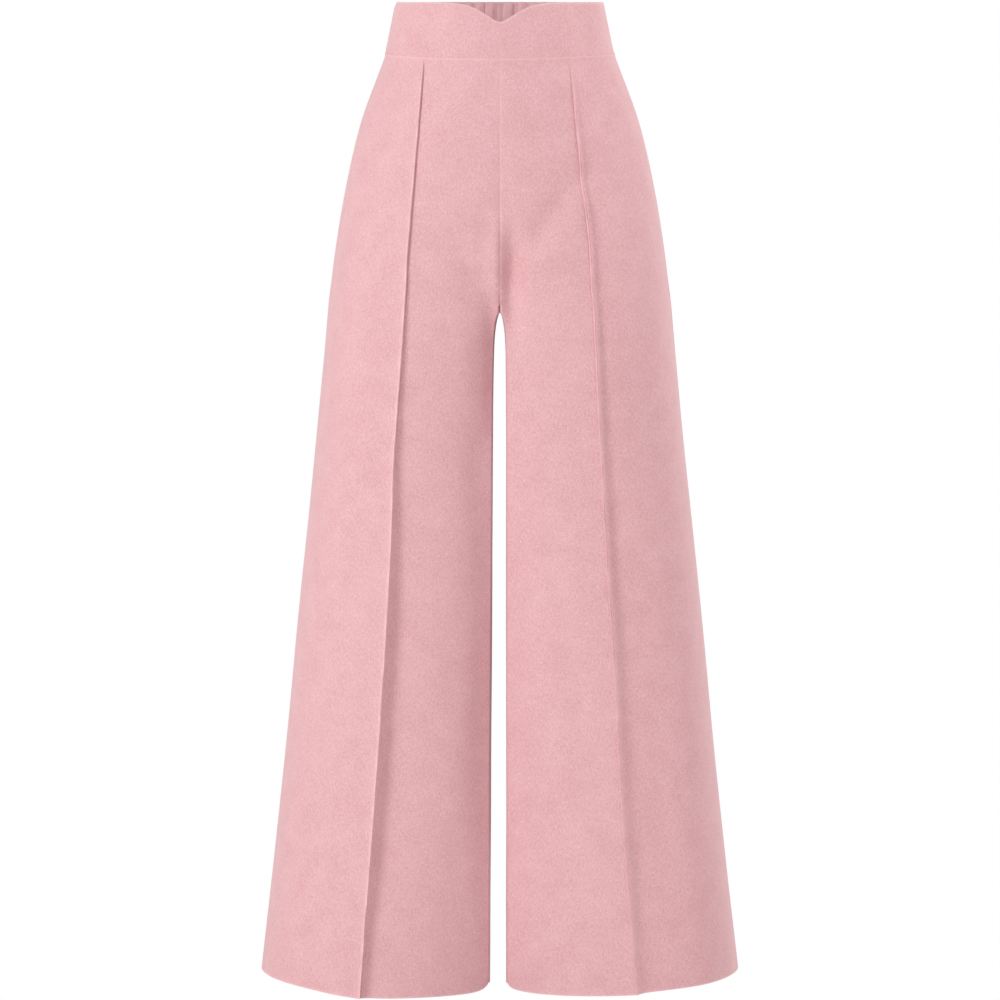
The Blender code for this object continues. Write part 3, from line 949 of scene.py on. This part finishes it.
# %% [markdown]
# ## Thickness
#
# A sheet with no thickness looks like paper at the notch and the hems. Solidify gives it the cloth's real
# thickness towards the inside. Its rim has square edges, far sharper than any fold in the cloth, so Bevel
# finds them by their angle and rounds them like turned edges.

# %% Solidify and round the edges
LEG_CLOTH = {"thickness": 1.6, "rounding": 0.55}
BAND_CLOTH = {"thickness": 2.4, "rounding": 0.9}
RIM_ANGLE = 60
RIM_SEGMENTS = 3


def thicken(piece, thickness, rounding):
    """Gives a sheet its thickness towards the inside, and rounds the edges of its rim."""
    solid = piece.modifiers.new("Thickness", "SOLIDIFY")
    solid.thickness = thickness * MM
    solid.offset = -1
    solid.use_even_offset = False
    edge = piece.modifiers.new("Turned edges", "BEVEL")
    edge.limit_method = "ANGLE"
    edge.angle_limit = math.radians(RIM_ANGLE)
    edge.width = rounding * MM
    edge.segments = RIM_SEGMENTS


for node, (piece, _) in sheets.items():
    thicken(piece, **(BAND_CLOTH if "band" in node else LEG_CLOTH))
print("cloth is", LEG_CLOTH["thickness"], "mm thick, and the waistband", BAND_CLOTH["thickness"], "mm")

# %% [markdown]
# ## The cloth's finish
#
# The cloth is a crepe that has been brushed on its face. Crepe yarn is twisted so hard that it crinkles,
# which makes a fine grain with no gloss, with slubs where a yarn is thicker. Brushing raises a short nap,
# which catches light from the side as a pale sheen. The dye takes unevenly, so the colour is mottled.
#
# Noise makes all three patterns, because it never repeats over a long leg as an image would. The slubs
# read the UVs, and so follow the cloth. A ramp turns the mix into three near pinks, and its finer part
# lifts the surface.


# %% Colours and nodes
def srgb(code):
    """Linear colour with alpha from a hex code."""
    parts = [int(code[i : i + 2], 16) / 255 for i in (1, 3, 5)]
    return [c / 12.92 if c <= 0.04045 else ((c + 0.055) / 1.055) ** 2.4 for c in parts] + [1.0]


def add_node(tree, kind, inputs=None, links=None, **settings):
    """A node with its settings, its unlinked values, and links from other outputs to its inputs."""
    node = tree.nodes.new(kind)
    for key, value in settings.items():
        setattr(node, key, value)
    for key, value in (inputs or {}).items():
        node.inputs[key].default_value = value
    for key, source in (links or {}).items():
        tree.links.new(source, node.inputs[key])
    return node


CLOTH_DEEP = "#DAA5AA"
CLOTH_PINK = "#E6B9BD"
CLOTH_PALE = "#F1CBCE"
# the paler pink of the painted highlights
PAINTED_HIGHLIGHT_PINK = "#F8D3D5"
CLOTH_SHEEN = "#FFE9EA"
print("the pink in linear light:", [round(c, 2) for c in srgb(CLOTH_PINK)])

# %% The material
GRAIN = 1.05  # the crinkle is about 0.5 mm: this is the finest grain that a whole view can show
SLUB_WIDTH = 1.6
SLUB_LENGTH = 4.0
SLUB_BIAS = 35  # degrees across the grain line, as the twist of crepe yarns draws them
MOTTLE = 25.0
SLUB_SHARE = 0.28
MOTTLE_SHARE = 0.15
COLOUR_STOPS = ((0.37, CLOTH_DEEP), (0.5, CLOTH_PINK), (0.63, CLOTH_PALE))
RELIEF = 0.3
RELIEF_STRENGTH = 0.5
# Crepe has no gloss, and its raised nap gives a wide pale sheen
FACE = {"Roughness": 0.9, "Specular IOR Level": 0.2, "Sheen Weight": 0.9, "Sheen Roughness": 0.4}


def brushed_crepe(name):
    """Brushed polyester crepe: matt, grainy and softly mottled, with a pale sheen, and painted highlights
    where the vertices ask for them.
    """
    material = bpy.data.materials.new(name)
    material.use_nodes = True
    tree = material.node_tree
    shader = tree.nodes["Principled BSDF"]
    place = add_node(tree, "ShaderNodeTexCoord")
    by_object, by_cloth = {"Vector": place.outputs["Object"]}, {"Vector": place.outputs["UV"]}
    crinkle = {"Scale": 1 / (GRAIN * MM), "Detail": 2.0, "Roughness": 0.6, "Distortion": 0.6}
    grain = add_node(tree, "ShaderNodeTexNoise", crinkle, by_object)
    yarns = {"Scale": (1 / (SLUB_WIDTH * MM), 1 / (SLUB_LENGTH * MM), 1.0),
             "Rotation": (0.0, 0.0, math.radians(SLUB_BIAS))}
    warp = add_node(tree, "ShaderNodeMapping", yarns, by_cloth)
    by_yarn = {"Vector": warp.outputs["Vector"]}
    slub = add_node(tree, "ShaderNodeTexNoise", {"Scale": 1.0, "Detail": 1.0}, by_yarn)
    clouds = {"Scale": 1 / (MOTTLE * MM), "Detail": 3.0, "Roughness": 0.6}
    mottle = add_node(tree, "ShaderNodeTexNoise", clouds, by_object)
    fine = add_node(tree, "ShaderNodeMix", {0: SLUB_SHARE}, {2: grain.outputs[0], 3: slub.outputs[0]})
    both = add_node(tree, "ShaderNodeMix", {0: MOTTLE_SHARE}, {2: fine.outputs[0], 3: mottle.outputs[0]})
    ramp = add_node(tree, "ShaderNodeValToRGB", None, {"Fac": both.outputs[0]})
    ramp.color_ramp.elements.new(0.5)
    for stop, (position, colour) in zip(ramp.color_ramp.elements, COLOUR_STOPS):
        stop.position = position
        stop.color = srgb(colour)
    relief = {"Strength": RELIEF_STRENGTH, "Distance": RELIEF * MM}
    bumps = add_node(tree, "ShaderNodeBump", relief, {"Height": fine.outputs[0]})
    # Painted highlight: the colour is mixed towards a paler pink as far as each vertex's number asks
    painted_highlight = add_node(tree, "ShaderNodeAttribute", attribute_name="painted_highlight")
    paler = add_node(tree, "ShaderNodeMix", {7: srgb(PAINTED_HIGHLIGHT_PINK)},
                     {0: painted_highlight.outputs["Fac"], 6: ramp.outputs["Color"]}, data_type="RGBA")
    tree.links.new(paler.outputs[2], shader.inputs["Base Color"])
    tree.links.new(bumps.outputs["Normal"], shader.inputs["Normal"])
    for socket, value in FACE.items():
        shader.inputs[socket].default_value = value
    shader.inputs["Sheen Tint"].default_value = srgb(CLOTH_SHEEN)
    return material


leg_finish = brushed_crepe("brushed_polyester_crepe")
band_finish = brushed_crepe("brushed_polyester_crepe_band")
for node, (piece, _) in sheets.items():
    piece.data.materials.append(band_finish if "band" in node else leg_finish)
print("finishes:", leg_finish.name, "and", band_finish.name)

# %% [markdown]
# ## Hanging the pieces on the frame
#
# Each sheet is hung on the frame's root and stands for one solid, which is hidden but still collides.


for node, (piece, points) in sheets.items():
    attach(piece, "root")
    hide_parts(node)

# %% [markdown]
# ## Studio
#
# A pale floor lies just below the hems. The camera sees it and the surroundings as pure white, but the
# light that the cloth gets from them is softer: a light path node tells the two kinds of ray apart.

# %% Floor and surroundings
FLOOR_BELOW_HEM = 0.05
FLOOR_RADIUS = 14
FLOOR_PALE = "#EFEDEB"
ROOM_PALE = "#FFF1F2"
ROOM_LIGHT = 0.55
WHITE = (1, 1, 1, 1)


def seen_white(tree, plain, white, output):
    """Shows the camera the white output, and every other ray the plain one."""
    path = add_node(tree, "ShaderNodeLightPath")
    links = {0: path.outputs["Is Camera Ray"], 1: plain, 2: white}
    either = add_node(tree, "ShaderNodeMixShader", None, links)
    tree.links.new(either.outputs[0], tree.nodes[output].inputs["Surface"])


floor_mesh = bmesh.new()
bmesh.ops.create_circle(floor_mesh, cap_ends=True, segments=96, radius=FLOOR_RADIUS)
bmesh.ops.translate(floor_mesh, verts=floor_mesh.verts, vec=(0, 0, cad_box[0][2] - FLOOR_BELOW_HEM))
floor = mesh_object("floor", floor_mesh)

# Painted paper, as a studio's backdrop is: matt, and a little warmer than white
floor_finish = bpy.data.materials.new("white_studio_floor")
floor_finish.use_nodes = True
floor_tree = floor_finish.node_tree
paper = floor_tree.nodes["Principled BSDF"]
paper.inputs["Base Color"].default_value = srgb(FLOOR_PALE)
paper.inputs["Roughness"].default_value = 0.9
blank = add_node(floor_tree, "ShaderNodeEmission", {"Color": WHITE, "Strength": 1.0})
seen_white(floor_tree, paper.outputs["BSDF"], blank.outputs["Emission"], "Material Output")
floor.data.materials.append(floor_finish)

world = bpy.data.worlds.new("studio")
bpy.context.scene.world = world
world.use_nodes = True
background = world.node_tree.nodes["Background"]
background.inputs["Color"].default_value = WHITE
background.inputs["Strength"].default_value = 1.0
room = add_node(world.node_tree, "ShaderNodeBackground", {"Color": srgb(ROOM_PALE), "Strength": ROOM_LIGHT})
seen_white(world.node_tree, room.outputs[0], background.outputs[0], "World Output")
print("the floor lies at", round((cad_box[0][2] - FLOOR_BELOW_HEM) / MM), "mm")

# %% [markdown]
# ## Lamps and camera
#
# A key lamp low on the left rakes across the cloth, so that every fold has a lit and a shaded side. Weak
# ones light the waistband from above, the leg on the right from close by, and the back. All are wide,
# because a small lamp would draw hard shadows on soft cloth. The camera is level and far away, so that
# upright seams stay upright.

# %% Light and camera
# Each lamp's angle round the trousers from the camera to the right, its distance and height, the height
# that it is aimed at, its width and its power in watts
LAMPS = table("""
lamp       angle distance height  aim width watts
key          -41      3.6    0.4 -0.5   1.4    51
top            0      1.6    2.4 -0.3   1.4    10
side_left    -97      2.8    1.3 -0.1   1.2     4
side_right    95      1.5    0.9 -0.1   0.9    14
back_left   -140      3.1    1.2 -0.5   1.4     9
back_right   140      3.1    1.2 -0.5   1.4     9
""")
CAMERA_AWAY = 3.2
CAMERA_HEIGHT = -0.531
LENS = 102.35
SENSOR = 36

for name, row in LAMPS.items():
    light = bpy.data.lights.new(name, "AREA")
    light.shape = "DISK"
    light.size = row["width"]
    light.energy = row["watts"]
    angle = math.radians(row["angle"])
    spot = Vector((row["distance"] * math.sin(angle), -row["distance"] * math.cos(angle), row["height"]))
    lamp = in_scene(name, light)
    lamp.location = spot
    lamp.rotation_euler = (Vector((0, 0, row["aim"])) - spot).to_track_quat("-Z", "Y").to_euler()

camera_data = bpy.data.cameras.new("camera")
camera_data.lens = LENS
camera_data.sensor_width = SENSOR
camera = in_scene("camera", camera_data)
camera.location = (0, -CAMERA_AWAY, CAMERA_HEIGHT)
camera.rotation_euler = (math.radians(90), 0, 0)
bpy.context.scene.camera = camera
bpy.context.scene.view_settings.view_transform = "Standard"
print(len(LAMPS), "lamps, and a camera", CAMERA_AWAY, "m in front")
